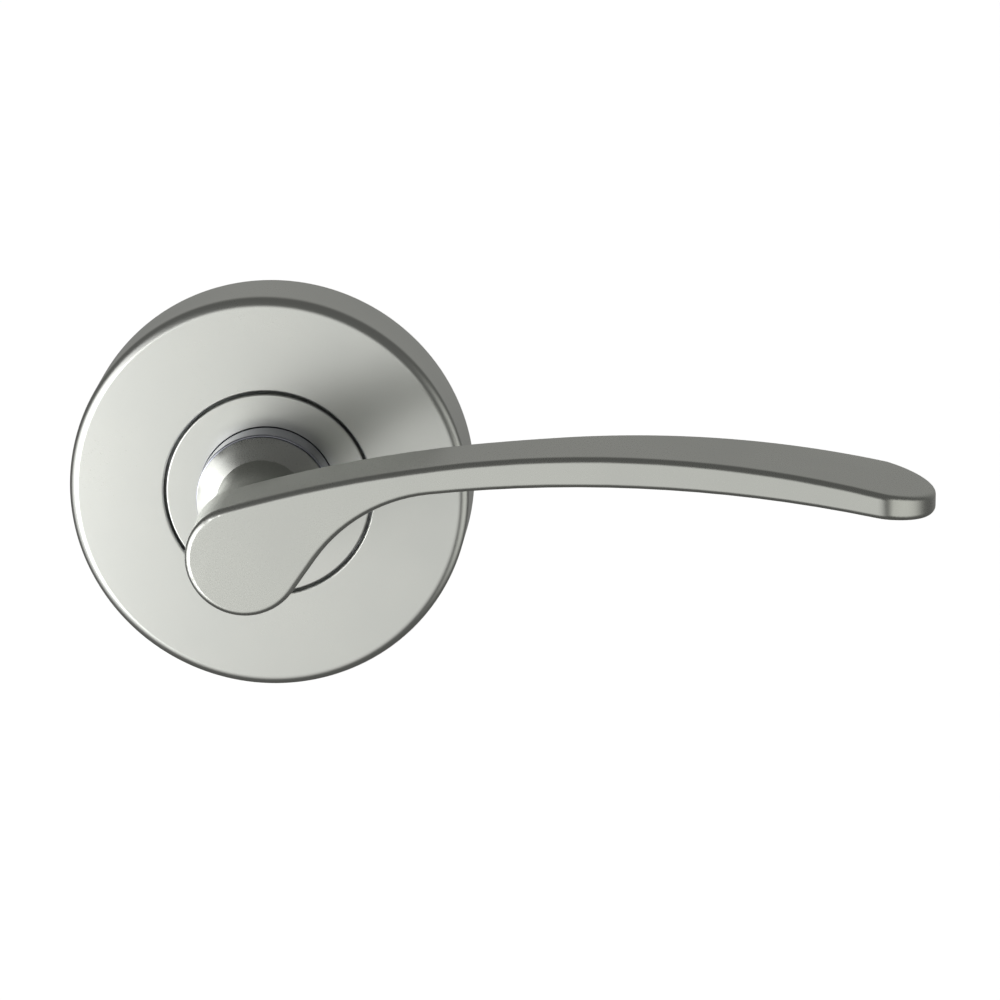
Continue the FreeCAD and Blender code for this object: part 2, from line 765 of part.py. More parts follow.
def plan_offcut(sketch):
    """All that is cut away behind the blade and round its tip, seen from below."""
    arcs = tip_arcs()
    furthest = max(centre.x + radius for centre, radius, start, stop in arcs
                   if stop <= -math.pi / 2 <= start)
    shift = point(value("arm_reach") - furthest, 0)
    corners = []
    for centre, radius, *headings in arcs:
        headings.insert(1, sum(headings) / 2)
        stops = [centre + shift + beside(heading, radius) for heading in headings]
        sketch.addGeometry(Part.ArcOfCircle(*stops))
        corners += [stops[0], stops[-1]]
    front_end, back_end = corners[0], corners[-1]

    # the sloping back climbs towards the root, then a long blend levels it
    slope = math.radians(value("back_slope"))
    blend, back = value("back_blend_radius"), value("blade_back")
    run = (back - blend * (1 - math.cos(slope)) - back_end.y) / math.sin(slope)
    blend_start = back_end + point(-math.cos(slope), math.sin(slope)) * run
    level = point(blend_start.x - blend * math.sin(slope), back)
    middle = point(level.x, back - blend) + beside(-slope / 2, blend)
    sketch.addGeometry(Part.LineSegment(back_end, blend_start))
    sketch.addGeometry(Part.ArcOfCircle(blend_start, middle, level))

    over = value("overrun")
    left = -value("root_left") - over
    right = value("arm_reach") + 2 * over
    behind = back - value("root_thickness") - over
    ahead = value("blade_front") + over
    outside = [level, point(left, back), point(left, behind), point(right, behind),
               point(right, ahead), point(front_end.x, ahead), front_end]
    for pair in zip(outside, outside[1:]):
        sketch.addGeometry(Part.LineSegment(*pair))


def blade_outline_edge(edge):
    """Chooses the blade's long edges, not the seams that run straight along Y or Z."""
    box = edge.BoundBox
    return box.XLength > 0.01 or (box.YLength > 0.01 and box.ZLength > 0.01)


def add_neck(body):
    """A slim round neck that widens into the blade's root, lofted through four circles."""
    root_across = "root_top_radius - root_left"
    stations = (
        ("0", "0", "neck_radius", "neck_start - shoulder_cone / 4"),
        ("0", "0", "neck_radius", "neck_start + neck_length * neck_waist_share"),
        (f"({root_across}) / 2", "-root_drop / 2", "neck_radius + neck_bell_growth",
         "neck_start + neck_length * neck_bell_share"),
        (root_across, "-root_drop", "root_top_radius - neck_root_inset", "neck_end"),
    )
    sections = []
    for number, (across, along, radius, depth) in enumerate(stations, start=1):
        section = face_sketch(body, f"neck_section_{number}", depth)
        add_circle(section, across, along, radius)
        sections.append(section)
    before = solid_volume(body)
    loft = body.newObject("PartDesign::AdditiveLoft", "neck")
    loft.Profile = sections[0]
    loft.Sections = sections[1:]
    checked(body, loft, before, True)


def add_shank(body):
    """Shoulder cone, bearing journal and the keyed tail with its circlip groove."""
    profile = section_sketch(body, "shank_section")
    add_polygon(profile, (
        ("0", "shank_tail"), ("shank_radius - shank_chamfer", "shank_tail"),
        ("shank_radius", "shank_tail + shank_chamfer"), ("shank_radius", "shoulder_depth"),
        ("shoulder_radius", "shoulder_depth"),
        ("shoulder_radius", "shoulder_depth + shoulder_edge"),
        ("neck_radius", "neck_start"), ("0", "neck_start")))
    revolve(body, profile)

    flats = face_sketch(body, "shank_flats", "shank_tail")
    for sign in ("", "-"):
        add_polygon(flats, ((f"{sign}flat_distance", "-shank_radius"),
                            (f"{sign}shank_radius", "-shank_radius"),
                            (f"{sign}shank_radius", "shank_radius"),
                            (f"{sign}flat_distance", "shank_radius")))
    cut(body, flats, "cam_front - shank_tail")

    groove = section_sketch(body, "circlip_groove")
    add_polygon(groove, (
        ("shank_radius - circlip_groove", "circlip_back"), ("shank_radius * 2", "circlip_back"),
        ("shank_radius * 2", "retaining_back"),
        ("shank_radius - circlip_groove", "retaining_back")))
    before = solid_volume(body)
    feature = body.newObject("PartDesign::Groove", "circlip_seat")
    feature.Profile = groove
    feature.ReferenceAxis = (groove, ["V_Axis"])
    feature.Angle = 360
    checked(body, feature, before, False)


def make_lever():
    """One casting: arm and root, neck, shoulder and shank, bored square for the spindle."""
    body = new_body("lever")
    outline = face_sketch(body, "blade_outline", "blade_back - root_thickness")
    front_outline(outline)
    pad(body, outline, "2 * root_thickness")
    offcut = section_sketch(body, "blade_offcut")
    plan_offcut(offcut)
    cut(body, offcut, "", both_ways=True)
    round_edges(body, blade_outline_edge, "blade_edge_round")
    add_neck(body)
    add_shank(body)

    socket = face_sketch(body, "spindle_socket", "shank_tail")
    add_polygon(socket, (("socket_half", "socket_half"), ("-socket_half", "socket_half"),
                         ("-socket_half", "-socket_half"), ("socket_half", "-socket_half")))
    cut(body, socket, "spindle_front - shank_tail + spindle_play")
    thread = section_sketch(body, "grub_thread", "socket_half - spindle_play")
    add_circle(thread, "0", "grub_depth", "grub_radius")
    cut(body, thread, "neck_radius")
    return body


make_rose_cover()
make_centre_disc()
make_bearing_sleeve()
washer("bearing_bush", "bush_bore", "bush_radius", "chamber_front", "sleeve_front")
washer("nose_washer", "bush_bore", "sleeve_radius - nose_washer_inset",
       "sleeve_front", "nose_washer_front")
washer("thrust_washer", "bush_bore", "chamber_radius - chamber_play",
       "thrust_washer_back", "chamber_front")
make_snap_ring()
make_sub_rose()
make_fixing_posts()
make_back_plate()
make_plate_screws()
make_return_spring()
washer("retaining_washer", "shank_radius + key_play", "shank_radius + retaining_washer_radial",
       "retaining_back", "cam_back")
make_spring_cam()
make_circlip()
make_spindle()
make_grub_screw()
make_lever()

document.recompute()
NODES = [item for item in document.Objects
         if item.TypeId == "PartDesign::Body" or item.Label == "return_spring"]
for item in document.Objects:
    if "Invalid" in item.State or "Error" in item.State:
        raise RuntimeError(f"{item.Label} failed: {item.State}")
for item in NODES:
    if item.Shape.isNull() or not item.Shape.isValid():
        raise RuntimeError(f"{item.Label} has no valid shape")
os.makedirs("parts", exist_ok=True)
for item in NODES:
    item.Shape.exportStep(f"parts/{item.Label}.step")
    print(f"{item.Label}: {len(item.Shape.Solids)} solid(s), {item.Shape.Volume:.1f} mm3")
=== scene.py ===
import math
import bpy
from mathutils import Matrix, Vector


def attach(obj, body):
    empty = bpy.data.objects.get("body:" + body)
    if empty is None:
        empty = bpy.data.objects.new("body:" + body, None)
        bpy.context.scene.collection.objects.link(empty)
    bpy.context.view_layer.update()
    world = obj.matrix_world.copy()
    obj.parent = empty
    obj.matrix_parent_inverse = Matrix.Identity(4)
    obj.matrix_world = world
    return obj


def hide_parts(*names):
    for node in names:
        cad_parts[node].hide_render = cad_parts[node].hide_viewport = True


# A door lever handle on a round rose. All lengths are in metres.
# The spindle runs along Y, the front faces -Y and the arm points along +X.
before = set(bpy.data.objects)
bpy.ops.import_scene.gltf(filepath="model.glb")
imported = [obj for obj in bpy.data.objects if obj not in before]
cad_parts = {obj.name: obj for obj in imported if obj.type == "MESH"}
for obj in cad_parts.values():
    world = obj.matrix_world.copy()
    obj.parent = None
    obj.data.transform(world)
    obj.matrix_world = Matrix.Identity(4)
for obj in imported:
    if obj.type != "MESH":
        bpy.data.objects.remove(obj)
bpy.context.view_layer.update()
mm = 0.001
rimSlack = 0.02 * mm   # how near a point has to lie to a circle that is asked for
print("frame loaded:", len(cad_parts), "nodes")


# selecting
def deselectAll():
    bpy.ops.object.select_all(action="DESELECT")


def selectOnly(thing):
    deselectAll()
    thing.select_set(True)
    bpy.context.view_layer.objects.active = thing


def pickFaces(piece, wanted):
    # selects the faces for which wanted(centre, normal) is true and enters edit mode
    bpy.ops.object.mode_set(mode="EDIT")
    bpy.ops.mesh.select_mode(type="FACE")
    bpy.ops.mesh.select_all(action="DESELECT")
    bpy.ops.object.mode_set(mode="OBJECT")
    for face in piece.data.polygons:
        face.select = wanted(face.center, face.normal)
    bpy.ops.object.mode_set(mode="EDIT")


def onCircle(point, radius, depth):
    return (abs(math.hypot(point.x, point.z) - radius) < rimSlack
            and abs(point.y + depth) < rimSlack)


def pickRims(piece, rims):
    # selects the edges on circles about Y, each given as (radius, depth), and enters edit mode
    bpy.ops.object.mode_set(mode="EDIT")
    bpy.ops.mesh.select_mode(type="EDGE")
    bpy.ops.mesh.select_all(action="DESELECT")
    bpy.ops.object.mode_set(mode="OBJECT")
    points = piece.data.vertices
    for edge in piece.data.edges:
        ends = [points[number].co for number in edge.vertices]
        edge.select = any(all(onCircle(end, *rim) for end in ends) for rim in rims)
    bpy.ops.object.mode_set(mode="EDIT")


def applyModifier(piece, kind, **settings):
    modifier = piece.modifiers.new(kind.lower(), kind)
    for name, setting in settings.items():
        setattr(modifier, name, setting)
    selectOnly(piece)
    bpy.ops.object.modifier_apply(modifier=modifier.name)


# camera
viewPoint = {
    "target": (38.89 * mm, -30.0 * mm, 4.48 * mm),
    "azimuth": 4.204,     # degrees, from straight in front towards the arm's end
    "elevation": 15.395,  # degrees above level
    "distance": 0.9,
    "lens": 205.0,
    "nearest": 0.05,      # nothing closer than this is seen
}


def addCamera():
    turn, rise = math.radians(viewPoint["azimuth"]), math.radians(viewPoint["elevation"])
    level = math.cos(rise)
    back = Vector((math.sin(turn) * level, -math.cos(turn) * level, math.sin(rise)))
    place = Vector(viewPoint["target"]) + back * viewPoint["distance"]
    bpy.ops.object.camera_add(location=place)
    camera = bpy.context.object
    camera.name = "camera"
    camera.rotation_euler = back.to_track_quat("Z", "Y").to_euler()
    camera.data.lens = viewPoint["lens"]
    camera.data.clip_start = viewPoint["nearest"]
    bpy.context.scene.camera = camera


# studio: a room of soft glows round the handle and a pale floor
studio = {
    "floorLevel": -0.14,
    "floorSize": 14.0,
    "floorShade": 0.93,
    "floorRoughness": 0.9,
    "floorGlow": 0.84,
    "roomShade": (0.13, 0.13, 0.126),
    "lamp": {"place": (-0.24, -0.34, -0.10), "size": 0.24, "power": 0.58},
    # each glow: where it comes from, the cosines where it fades in and is full, its strength
    # and its tint; the note says what mirrors it
    "glows": (
        {"from": (-0.18, -1.0, -0.39), "edge": 0.73, "full": 0.985,   # the flat front faces
         "strength": 0.74, "tint": (1.0, 1.0, 0.975)},
        {"from": (-0.85, -0.50, -0.22), "edge": 0.78, "full": 0.97,   # the left side of the neck
         "strength": 1.7, "tint": (1.0, 1.0, 1.0)},
        {"from": (-0.80, -0.60, 0.08), "edge": 0.90, "full": 0.985,   # the upper left of the neck
         "strength": 1.0, "tint": (1.0, 1.0, 1.0)},
        {"from": (1.0, -0.25, -0.2), "edge": 0.75, "full": 0.99,   # the right-hand edges
         "strength": 0.70, "tint": (1.0, 1.0, 0.95)},
        {"from": (0.0, 1.0, 0.30), "edge": 0.55, "full": 0.98,   # the top faces
         "strength": 0.20, "tint": (1.0, 1.0, 0.96)},
    ),
}


def addGlow(tree, place, total, glow):
    facing = tree.nodes.new("ShaderNodeVectorMath")
    facing.operation = "DOT_PRODUCT"
    facing.inputs[1].default_value = Vector(glow["from"]).normalized()
    tree.links.new(place.outputs["Generated"], facing.inputs[0])
    fade = tree.nodes.new("ShaderNodeMapRange")
    fade.interpolation_type = "SMOOTHSTEP"
    fade.inputs["From Min"].default_value = glow["edge"]
    fade.inputs["From Max"].default_value = glow["full"]
    fade.inputs["To Max"].default_value = glow["strength"]
    tree.links.new(facing.outputs["Value"], fade.inputs["Value"])
    tint = tree.nodes.new("ShaderNodeMix")
    tint.data_type = "RGBA"
    tint.blend_type = "ADD"
    tint.inputs["B"].default_value = (*glow["tint"], 1)
    tree.links.new(fade.outputs["Result"], tint.inputs["Factor"])
    tree.links.new(total, tint.inputs["A"])
    return tint.outputs["Result"]


def addRoom():
    world = bpy.data.worlds.new("studio")
    bpy.context.scene.world = world
    world.use_nodes = True
    tree = world.node_tree
    place = tree.nodes.new("ShaderNodeTexCoord")
    room = tree.nodes.new("ShaderNodeRGB")
    room.outputs[0].default_value = (*studio["roomShade"], 1)
    total = room.outputs[0]
    for glow in studio["glows"]:
        total = addGlow(tree, place, total, glow)
    tree.links.new(total, tree.nodes["Background"].inputs["Color"])


def addFloor():
    deselectAll()
    bpy.ops.mesh.primitive_plane_add(
        size=studio["floorSize"], location=(0, 0, studio["floorLevel"]))
    floor = bpy.context.object
    floor.name = "floor"
    floor.visible_glossy = False
    floor.visible_diffuse = False
    paint = bpy.data.materials.new("paleFloor")
    paint.use_nodes = True
    shader = paint.node_tree.nodes["Principled BSDF"]
    shade = studio["floorShade"]
    shader.inputs["Base Color"].default_value = (shade, shade, shade, 1)
    shader.inputs["Roughness"].default_value = studio["floorRoughness"]
    shader.inputs["Emission Color"].default_value = (1, 1, 1, 1)
    shader.inputs["Emission Strength"].default_value = studio["floorGlow"]
    floor.data.materials.append(paint)


def addLamp():
    # a near lamp low on the left, so that the rose's left side is the lighter one
    lamp = studio["lamp"]
    bpy.ops.object.light_add(type="AREA", location=lamp["place"])
    light = bpy.context.object
    light.name = "leftLamp"
    light.rotation_euler = Vector(lamp["place"]).to_track_quat("Z", "Y").to_euler()
    light.data.size = lamp["size"]
    light.data.energy = lamp["power"]


def addStudio():
    addRoom()
    addFloor()
    addLamp()
    view = bpy.context.scene.view_settings
    view.view_transform = "Standard"
    view.look = "None"
    print("studio ready:", len(studio["glows"]), "glows")


addCamera()
addStudio()


# shared effects, each a node group with inputs (name, default)
def newGroup(name, inputs, outputs):
    group = bpy.data.node_groups.new(name, "ShaderNodeTree")
    group.interface.new_socket("Place", in_out="INPUT", socket_type="NodeSocketVector")
    for title, start in inputs:
        socket = group.interface.new_socket(title, in_out="INPUT", socket_type="NodeSocketFloat")
        socket.default_value = start
    for title in outputs:
        group.interface.new_socket(title, in_out="OUTPUT", socket_type="NodeSocketFloat")
    return group, group.nodes.new("NodeGroupInput"), group.nodes.new("NodeGroupOutput")


def mathStep(tree, operation, first, second=None):
    step = tree.nodes.new("ShaderNodeMath")
    step.operation = operation
    for socket, feed in zip(step.inputs, (first, second)):
        if isinstance(feed, (int, float)):
            socket.default_value = feed
        elif feed is not None:
            tree.links.new(feed, socket)
    return step.outputs[0]


def noiseStep(tree, place, scale, detail, roughness=0.5):
    noise = tree.nodes.new("ShaderNodeTexNoise")
    noise.inputs["Detail"].default_value = detail
    noise.inputs["Roughness"].default_value = roughness
    if isinstance(scale, (int, float)):
        noise.inputs["Scale"].default_value = scale
    else:
        tree.links.new(scale, noise.inputs["Scale"])
    tree.links.new(place, noise.inputs["Vector"])
    return noise.outputs["Fac"]


def spreadStep(tree, feed, low, high, fromLow=0.3, fromHigh=0.7):
    spread = tree.nodes.new("ShaderNodeMapRange")
    spread.inputs["From Min"].default_value = fromLow
    spread.inputs["From Max"].default_value = fromHigh
    for title, end in (("To Min", low), ("To Max", high)):
        if isinstance(end, (int, float)):
            spread.inputs[title].default_value = end
        else:
            tree.links.new(end, spread.inputs[title])
    tree.links.new(feed, spread.inputs["Value"])
    return spread.outputs["Result"]


# metal grain
grainLook = {
    "fineDetail": 2.0, "fineBreak": 0.6, "fineShare": 0.6,
    "driftDetail": 3.0, "driftShare": 0.4,
}


def makeGrainGroup():
    # fine even grain over a slow drift: a roughness that varies, a height and the drift itself
    group, given, result = newGroup(
        "metalGrain",
        (("Grain Scale", 5000), ("Drift Scale", 60),
         ("Roughness Low", 0.3), ("Roughness High", 0.4)),
        ("Roughness", "Height", "Drift"))
    place = given.outputs["Place"]
    fine = noiseStep(group, place, given.outputs["Grain Scale"],
                     grainLook["fineDetail"], grainLook["fineBreak"])
    drift = noiseStep(group, place, given.outputs["Drift Scale"], grainLook["driftDetail"])
    both = mathStep(group, "ADD", mathStep(group, "MULTIPLY", fine, grainLook["fineShare"]),
                    mathStep(group, "MULTIPLY", drift, grainLook["driftShare"]))
    rough = spreadStep(group, both, given.outputs["Roughness Low"],
                       given.outputs["Roughness High"])
    group.links.new(rough, result.inputs["Roughness"])
    group.links.new(fine, result.inputs["Height"])
    group.links.new(spreadStep(group, drift, 0.0, 1.0), result.inputs["Drift"])
    return group


# edge wear and painted sheen: the cosines between a softened and a plain normal where the mask is
# full and where it ends
edgeLook = {"samples": 6, "full": 0.80, "end": 0.995, "patchDetail": 3.0, "patchLeast": 0.45}


def makeEdgeGroup():
    # a mask that is full on convex edges and breaks up along them
    group, given, result = newGroup(
        "edgeWearAndSheen", (("Radius", 0.0005), ("Break Up Scale", 900), ("Strength", 1.0)), ("Mask",))
    bevel = group.nodes.new("ShaderNodeBevel")
    bevel.samples = edgeLook["samples"]
    group.links.new(given.outputs["Radius"], bevel.inputs["Radius"])
    surface = group.nodes.new("ShaderNodeNewGeometry")
    facing = group.nodes.new("ShaderNodeVectorMath")
    facing.operation = "DOT_PRODUCT"
    group.links.new(bevel.outputs["Normal"], facing.inputs[0])
    group.links.new(surface.outputs["Normal"], facing.inputs[1])
    edge = spreadStep(group, facing.outputs["Value"], 1.0, 0.0, edgeLook["full"], edgeLook["end"])
    broken = noiseStep(group, given.outputs["Place"], given.outputs["Break Up Scale"],
                       edgeLook["patchDetail"])
    patches = spreadStep(group, broken, edgeLook["patchLeast"], 1.0)
    mask = mathStep(group, "MULTIPLY", mathStep(group, "MULTIPLY", edge, patches),
                    given.outputs["Strength"])
    group.links.new(mask, result.inputs["Mask"])
    return group


# turned rings
turnedLook = {"ringDetail": 2.0, "ringBreak": 0.7, "waverScale": 300.0, "waverDetail": 2.0}


def makeTurnedGroup():
    # fine rings about the Y axis, as a lathe or a polishing wheel leaves
    group, given, result = newGroup(
        "turnedRings", (("Ring Scale", 9000), ("Waver", 0.3)), ("Height",))
    parts = group.nodes.new("ShaderNodeSeparateXYZ")
    group.links.new(given.outputs["Place"], parts.inputs[0])
    squares = [mathStep(group, "MULTIPLY", parts.outputs[axis], parts.outputs[axis])
               for axis in "XZ"]
    radius = mathStep(group, "SQRT", mathStep(group, "ADD", *squares))
    run = group.nodes.new("ShaderNodeCombineXYZ")
    group.links.new(radius, run.inputs["X"])
    group.links.new(parts.outputs["Y"], run.inputs["Y"])
    rings = noiseStep(group, run.outputs[0], given.outputs["Ring Scale"],
                      turnedLook["ringDetail"], turnedLook["ringBreak"])
    waver = noiseStep(group, given.outputs["Place"], turnedLook["waverScale"],
                      turnedLook["waverDetail"])
    wavering = mathStep(group, "MULTIPLY", waver, given.outputs["Waver"])
    mixed = mathStep(group, "ADD", rings, wavering)
    group.links.new(mixed, result.inputs["Height"])
    return group


effects = {"grain": makeGrainGroup(), "edge": makeEdgeGroup(), "turned": makeTurnedGroup()}
print("effects ready:", ", ".join(effects))


# finishes: colours are linear, scales are features per metre, heights are in metres
finishes = {
    "satinChrome": {
        "colour": (0.640, 0.650, 0.620), "drift": (0.600, 0.612, 0.588),
        # the lighter edge colour here is a painted sheen on the chrome's edges, not wear
        "edge": (0.74, 0.75, 0.73),
        "metallic": 1.0, "roughness": (0.27, 0.34), "grainScale": 6500, "driftScale": 45,
        "bump": 0.03, "height": 5e-6, "edgeRadius": 0.35 * mm, "edgeStrength": 0.30,
    },
    "satinChromeLever": {
        "colour": (0.600, 0.610, 0.575), "drift": (0.565, 0.575, 0.548),
        # the lighter edge colour here is a painted sheen on the lever's edges, not wear
        "edge": (0.70, 0.71, 0.68),
        "metallic": 1.0, "roughness": (0.25, 0.32), "grainScale": 6500, "driftScale": 38,
        "bump": 0.03, "height": 5e-6, "edgeRadius": 0.3 * mm, "edgeStrength": 0.15,
    },
    "polishedSleeve": {
        "colour": (0.47, 0.48, 0.54), "drift": (0.42, 0.43, 0.49),
        "edge": (0.60, 0.61, 0.64),
        "metallic": 1.0, "roughness": (0.10, 0.16), "grainScale": 3000, "driftScale": 120,
        "bump": 0.06, "height": 3e-6, "edgeRadius": 0.15 * mm, "edgeStrength": 0.6, "rings": 11000,
    },
    "darkNylon": {
        "colour": (0.055, 0.055, 0.058), "drift": (0.040, 0.040, 0.043),
        "edge": (0.10, 0.10, 0.105),
        "metallic": 0.0, "roughness": (0.38, 0.55), "grainScale": 4200, "driftScale": 160,
        "bump": 0.25, "height": 1e-5, "edgeRadius": 0.1 * mm, "edgeStrength": 0.4,
    },
    "castZinc": {
        "colour": (0.44, 0.45, 0.46), "drift": (0.33, 0.34, 0.36),
        "edge": (0.58, 0.59, 0.60),
        "metallic": 1.0, "roughness": (0.42, 0.62), "grainScale": 1800, "driftScale": 130,
        "bump": 0.5, "height": 3e-5, "edgeRadius": 0.3 * mm, "edgeStrength": 0.6,
    },
    "zincPlate": {
        "colour": (0.60, 0.62, 0.66), "drift": (0.50, 0.51, 0.53),
        "edge": (0.74, 0.75, 0.77),
        "metallic": 1.0, "roughness": (0.24, 0.40), "grainScale": 2600, "driftScale": 75,
        "bump": 0.25, "height": 1e-5, "edgeRadius": 0.25 * mm, "edgeStrength": 0.6,
    },
    "plateScrew": {
        "colour": (0.62, 0.58, 0.46), "drift": (0.52, 0.50, 0.44),
        "edge": (0.76, 0.74, 0.66),
        "metallic": 1.0, "roughness": (0.22, 0.38), "grainScale": 3500, "driftScale": 220,
        "bump": 0.2, "height": 8e-6, "edgeRadius": 0.12 * mm, "edgeStrength": 0.7, "rings": 7000,
    },
    "washerSteel": {
        "colour": (0.52, 0.52, 0.53), "drift": (0.45, 0.45, 0.47),
        "edge": (0.66, 0.66, 0.67),
        "metallic": 1.0, "roughness": (0.28, 0.42), "grainScale": 2800, "driftScale": 140,
        "bump": 0.25, "height": 8e-6, "edgeRadius": 0.12 * mm, "edgeStrength": 0.6, "rings": 6000,
    },
    "springSteel": {
        "colour": (0.30, 0.31, 0.34), "drift": (0.22, 0.22, 0.24),
        "edge": (0.45, 0.45, 0.47),
        "metallic": 1.0, "roughness": (0.26, 0.42), "grainScale": 3800, "driftScale": 260,
        "bump": 0.25, "height": 6e-6, "edgeRadius": 0.1 * mm, "edgeStrength": 0.5,
    },
    "spindleSteel": {
        "colour": (0.56, 0.58, 0.61), "drift": (0.47, 0.48, 0.51),
        "edge": (0.72, 0.73, 0.75),
        "metallic": 1.0, "roughness": (0.24, 0.40), "grainScale": 2400, "driftScale": 60,
        "bump": 0.3, "height": 1e-5, "edgeRadius": 0.3 * mm, "edgeStrength": 0.7,
        "stretch": (1.0, 0.06, 1.0),
    },
    "blackSteel": {
        "colour": (0.060, 0.060, 0.065), "drift": (0.035, 0.035, 0.040),
        "edge": (0.24, 0.23, 0.22),
        "metallic": 1.0, "roughness": (0.34, 0.52), "grainScale": 3600, "driftScale": 240,
        "bump": 0.3, "height": 8e-6, "edgeRadius": 0.12 * mm, "edgeStrength": 0.8,
    },
}


def placeGroup(tree, effect, place, **settings):
    node = tree.nodes.new("ShaderNodeGroup")
    node.node_tree = effects[effect]
    tree.links.new(place, node.inputs["Place"])
    for title, setting in settings.items():
        node.inputs[title.replace("_", " ")].default_value = setting
    return node


def mixColours(tree, mask, first, second):
    mix = tree.nodes.new("ShaderNodeMix")
    mix.data_type = "RGBA"
    for title, colour in (("A", first), ("B", second)):
        if isinstance(colour, tuple):
            mix.inputs[title].default_value = (*colour, 1)
        else:
            tree.links.new(colour, mix.inputs[title])
    tree.links.new(mask, mix.inputs["Factor"])
    return mix.outputs["Result"]


def makeFinish(name):
    finish = finishes[name]
    material = bpy.data.materials.new(name)
    material.use_nodes = True
    tree = material.node_tree
    shader = tree.nodes["Principled BSDF"]
    shader.inputs["Metallic"].default_value = finish["metallic"]
    spot = tree.nodes.new("ShaderNodeTexCoord").outputs["Object"]
    if "stretch" in finish:
        mapping = tree.nodes.new("ShaderNodeMapping")
        mapping.inputs["Scale"].default_value = finish["stretch"]
        tree.links.new(spot, mapping.inputs["Vector"])
        spot = mapping.outputs["Vector"]
    low, high = finish["roughness"]
    grain = placeGroup(tree, "grain", spot, Grain_Scale=finish["grainScale"],
                       Drift_Scale=finish["driftScale"], Roughness_Low=low, Roughness_High=high)
    edge = placeGroup(tree, "edge", spot, Radius=finish["edgeRadius"],
                      Strength=finish["edgeStrength"])
    drifted = mixColours(tree, grain.outputs["Drift"], finish["colour"], finish["drift"])
    # lighter edges: worn metal on the steels, zinc and nylon, a painted sheen on the two satin
    # chrome finishes
    wearAndSheen = mixColours(tree, edge.outputs["Mask"], drifted, finish["edge"])
    tree.links.new(wearAndSheen, shader.inputs["Base Color"])
    tree.links.new(grain.outputs["Roughness"], shader.inputs["Roughness"])
    height = grain.outputs["Height"]
    if "rings" in finish:
        rings = placeGroup(tree, "turned", spot, Ring_Scale=finish["rings"])
        height = mathStep(tree, "ADD", height, rings.outputs["Height"])
    bump = tree.nodes.new("ShaderNodeBump")
    bump.inputs["Strength"].default_value = finish["bump"]
    bump.inputs["Distance"].default_value = finish["height"]
    tree.links.new(height, bump.inputs["Height"])
    tree.links.new(bump.outputs["Normal"], shader.inputs["Normal"])
    return material


materials = {name: makeFinish(name) for name in finishes}
print("finishes ready:", len(materials))


smoothAngle = 30   # degrees, edges flatter than this are shaded smooth


# every finished piece gets its finish and its body, and the node it stands for is hidden
def settle(piece, name, finish, body, node):
    piece.name = name
    piece.data.name = name
    piece.data.materials.clear()
    piece.data.materials.append(materials[finish])
    selectOnly(piece)
    bpy.ops.object.shade_smooth_by_angle(angle=math.radians(smoothAngle))
    applyModifier(piece, "WEIGHTED_NORMAL", keep_sharp=True)
    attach(piece, body)
    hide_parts(node)
    print("made", name, len(piece.data.polygons), "faces")


def addDrum(radius, back, front, sides):
    # a cylinder about the Y axis between two depths
    deselectAll()
    bpy.ops.mesh.primitive_cylinder_add(
        vertices=sides, radius=radius, depth=front - back, end_fill_type="NGON",
        location=(0, -(front + back) / 2, 0), rotation=(math.pi / 2, 0, 0))
    drum = bpy.context.object
    bpy.ops.object.transform_apply(location=True, rotation=True, scale=True)
    return drum


# an end cap lies at its depth, faces along Y and is centred on the axis
capSlack, capFacing, capMiddle = 0.05 * mm, 0.9, 1 * mm


def capTest(depth, facing):
    return lambda centre, normal: (abs(centre.y + depth) < capSlack
                                   and normal.y * facing > capFacing
                                   and math.hypot(centre.x, centre.z) < capMiddle)


def roundRim(rounding, steps):
    bpy.ops.mesh.bevel(offset_type="OFFSET", offset=rounding, segments=steps,
                       profile=0.5, affect="EDGES")   # 0.5 is a true quarter circle


def addCup(cup):
    # a pressed cup: pierced face, a lip turned in round the hole, rounded rims, one wall all over
    piece = addDrum(cup["radius"], cup["back"], cup["front"], cup["sides"])
    pickFaces(piece, capTest(cup["back"], 1))
    bpy.ops.mesh.delete(type="ONLY_FACE")
    bpy.ops.object.mode_set(mode="OBJECT")
    pickFaces(piece, capTest(cup["front"], -1))
    bpy.ops.mesh.inset(thickness=cup["radius"] - cup["hole"], depth=0)
    bpy.ops.mesh.extrude_region_move(TRANSFORM_OT_translate={"value": (0, cup["lip"], 0)})
    bpy.ops.mesh.delete(type="ONLY_FACE")
    bpy.ops.object.mode_set(mode="OBJECT")
    for radius, rounding in ((cup["radius"], cup["edgeRound"]), (cup["hole"], cup["lipRound"])):
        pickRims(piece, ((radius, cup["front"]),))
        roundRim(rounding, cup["roundSteps"])
        bpy.ops.object.mode_set(mode="OBJECT")
    applyModifier(piece, "SOLIDIFY", thickness=cup["wall"], offset=-1, use_even_offset=True)
    return piece


def addCollar(collar):
    # a bored ring, its two front rims rounded
    piece = addDrum(collar["radius"], collar["back"], collar["front"], collar["sides"])
    for depth, facing in ((collar["front"], -1), (collar["back"], 1)):
        pickFaces(piece, capTest(depth, facing))
        bpy.ops.mesh.inset(thickness=collar["radius"] - collar["bore"], depth=0)
        bpy.ops.mesh.delete(type="ONLY_FACE")
        bpy.ops.object.mode_set(mode="OBJECT")
    pickRims(piece, ((collar["bore"], collar["front"]), (collar["bore"], collar["back"])))
    bpy.ops.mesh.bridge_edge_loops()
    bpy.ops.object.mode_set(mode="OBJECT")
    pickRims(piece, ((collar["radius"], collar["front"]), (collar["bore"], collar["front"])))
    roundRim(collar["edgeRound"], collar["roundSteps"])
    bpy.ops.mesh.select_all(action="SELECT")
    bpy.ops.mesh.normals_make_consistent(inside=False)
    bpy.ops.object.mode_set(mode="OBJECT")
    return piece


